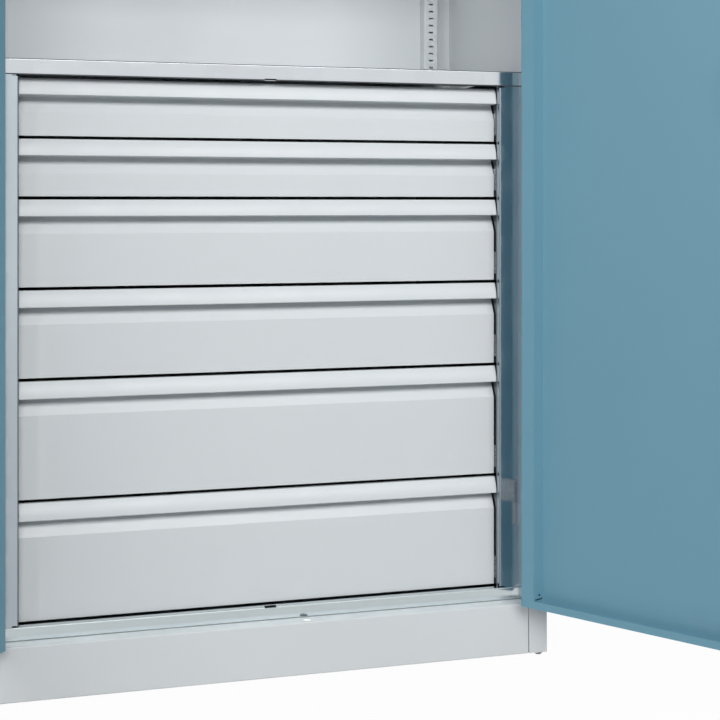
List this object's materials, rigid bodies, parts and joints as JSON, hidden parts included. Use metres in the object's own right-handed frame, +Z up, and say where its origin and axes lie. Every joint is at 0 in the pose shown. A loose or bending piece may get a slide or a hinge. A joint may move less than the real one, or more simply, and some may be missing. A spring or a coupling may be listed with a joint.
{
  "type": "heavy-duty drawer cupboard",
  "caption": "Tall sheet-steel tool cupboard with wing doors, full-width drawers on telescopic slides and an open upper bay with height-adjustable shelves.",
  "frame": {"origin": "middle of the footprint's bounding box on the floor, with both doors at rest, open", "axes": "+Z up, -Y out of the front, +X to the right as seen from the front"},
  "size_m": [1.4834, 0.8846, 1.95],
  "materials": {
    "carcass_grey": "light grey powder coat, smooth satin",
    "drawer_grey": "light grey powder coat, smooth satin",
    "door_blue": "light blue powder coat, smooth satin",
    "galvanised": "bright galvanised sheet, left bare",
    "slide_steel": "zinc-plated roll-formed steel",
    "zinc_plated": "zinc-plated steel",
    "black_plastic": "black moulded plastic, fine grain",
    "bright_chrome": "polished chrome",
    "foot_plastic": "grey moulded plastic"
  },
  "bodies": {
    "carcass": {"side_wall_left": "carcass_grey", "side_wall_right": "carcass_grey", "back_panel": "carcass_grey", "top_panel": "carcass_grey", "floor_panel": "galvanised", "plinth_front": "carcass_grey", "bottom_rail": "galvanised", "drawer_cover_shelf": "galvanised", "filler_left": "galvanised", "filler_right": "galvanised", "housing_side_left": "galvanised", "housing_side_right": "galvanised", "cabinet_rails": "slide_steel", "rear_shelf_strips": "carcass_grey", "front_shelf_strips": "carcass_grey", "lower_shelf": "galvanised", "upper_shelf": "galvanised", "shelf_clips": "zinc_plated", "levelling_feet": "foot_plastic", "foot_brackets": "carcass_grey", "frame_hinges": "carcass_grey", "hinge_pins": "zinc_plated"},
    "right_door": {"right_door_panel": "door_blue", "right_door_hinges": "zinc_plated", "escutcheon": "black_plastic", "lock_case": "zinc_plated", "rod_guides": "black_plastic"},
    "left_door": {"left_door_panel": "door_blue", "left_door_hinges": "zinc_plated", "meeting_strip": "door_blue"},
    "handle": {"handle_lever": "black_plastic", "lock_cam": "zinc_plated"},
    "lock_barrel": {"lock_cylinder": "bright_chrome"},
    "upper_rod": {"upper_rod": "zinc_plated"},
    "lower_rod": {"lower_rod": "zinc_plated"},
    "drawer_6": {"drawer_6_front": "drawer_grey", "drawer_6_box": "drawer_grey", "drawer_6_rails": "slide_steel"},
    "runners_6": {"drawer_6_middle_rails": "slide_steel"},
    "drawer_5": {"drawer_5_front": "drawer_grey", "drawer_5_box": "drawer_grey", "drawer_5_rails": "slide_steel"},
    "runners_5": {"drawer_5_middle_rails": "slide_steel"},
    "drawer_4": {"drawer_4_front": "drawer_grey", "drawer_4_box": "drawer_grey", "drawer_4_rails": "slide_steel"},
    "runners_4": {"drawer_4_middle_rails": "slide_steel"},
    "drawer_3": {"drawer_3_front": "drawer_grey", "drawer_3_box": "drawer_grey", "drawer_3_rails": "slide_steel"},
    "runners_3": {"drawer_3_middle_rails": "slide_steel"},
    "drawer_2": {"drawer_2_front": "drawer_grey", "drawer_2_box": "drawer_grey", "drawer_2_rails": "slide_steel"},
    "runners_2": {"drawer_2_middle_rails": "slide_steel"},
    "drawer_1": {"drawer_1_front": "drawer_grey", "drawer_1_box": "drawer_grey", "drawer_1_rails": "slide_steel"},
    "runners_1": {"drawer_1_middle_rails": "slide_steel"}
  },
  "joints": [
    {"name": "right_door_hinge", "type": "hinge", "parent": "carcass", "child": "right_door", "pos_m": [0.462, -0.06092, 1], "axis": [0, 0, 1], "range_deg": [-127.6, 52.4]},
    {"name": "left_door_hinge", "type": "hinge", "parent": "carcass", "child": "left_door", "pos_m": [-0.462, -0.06092, 1], "axis": [0, 0, -1], "range_deg": [-127.6, 52.4]},
    {"name": "handle_turn", "type": "hinge", "parent": "right_door", "child": "handle", "pos_m": [0.71502, -0.38735, 1.008], "axis": [0.7923, 0.6101, 0], "range_deg": [-90, 0]},
    {"name": "key_turn", "type": "hinge", "parent": "handle", "child": "lock_barrel", "pos_m": [0.71502, -0.38735, 1.008], "axis": [0.7923, 0.6101, 0], "range_deg": [0, 90]},
    {"name": "lower_rod_slide", "type": "slide", "parent": "right_door", "child": "lower_rod", "axis": [0, 0, 1], "range_m": [-0.0198, 0]},
    {"name": "upper_rod_slide", "type": "slide", "parent": "right_door", "child": "upper_rod", "axis": [0, 0, -1], "range_m": [-0.0198, 0]},
    {"name": "drawer_6_slide", "type": "slide", "parent": "carcass", "child": "drawer_6", "axis": [0, -1, 0], "range_m": [0, 0.41]},
    {"name": "runners_6_slide", "type": "slide", "parent": "carcass", "child": "runners_6", "axis": [0, -1, 0], "range_m": [0, 0.205]},
    {"name": "drawer_5_slide", "type": "slide", "parent": "carcass", "child": "drawer_5", "axis": [0, -1, 0], "range_m": [0, 0.41]},
    {"name": "runners_5_slide", "type": "slide", "parent": "carcass", "child": "runners_5", "axis": [0, -1, 0], "range_m": [0, 0.205]},
    {"name": "drawer_4_slide", "type": "slide", "parent": "carcass", "child": "drawer_4", "axis": [0, -1, 0], "range_m": [0, 0.41]},
    {"name": "runners_4_slide", "type": "slide", "parent": "carcass", "child": "runners_4", "axis": [0, -1, 0], "range_m": [0, 0.205]},
    {"name": "drawer_3_slide", "type": "slide", "parent": "carcass", "child": "drawer_3", "axis": [0, -1, 0], "range_m": [0, 0.41]},
    {"name": "runners_3_slide", "type": "slide", "parent": "carcass", "child": "runners_3", "axis": [0, -1, 0], "range_m": [0, 0.205]},
    {"name": "drawer_2_slide", "type": "slide", "parent": "carcass", "child": "drawer_2", "axis": [0, -1, 0], "range_m": [0, 0.41]},
    {"name": "runners_2_slide", "type": "slide", "parent": "carcass", "child": "runners_2", "axis": [0, -1, 0], "range_m": [0, 0.205]},
    {"name": "drawer_1_slide", "type": "slide", "parent": "carcass", "child": "drawer_1", "axis": [0, -1, 0], "range_m": [0, 0.41]},
    {"name": "runners_1_slide", "type": "slide", "parent": "carcass", "child": "runners_1", "axis": [0, -1, 0], "range_m": [0, 0.205]}
  ],
  "couplings": [
    {"joint": "handle_turn", "follows": "lower_rod_slide", "rad_per_m": 79.33},
    {"joint": "upper_rod_slide", "follows": "lower_rod_slide", "ratio": 1},
    {"joint": "runners_6_slide", "follows": "drawer_6_slide", "ratio": 0.5},
    {"joint": "runners_5_slide", "follows": "drawer_5_slide", "ratio": 0.5},
    {"joint": "runners_4_slide", "follows": "drawer_4_slide", "ratio": 0.5},
    {"joint": "runners_3_slide", "follows": "drawer_3_slide", "ratio": 0.5},
    {"joint": "runners_2_slide", "follows": "drawer_2_slide", "ratio": 0.5},
    {"joint": "runners_1_slide", "follows": "drawer_1_slide", "ratio": 0.5}
  ]
}
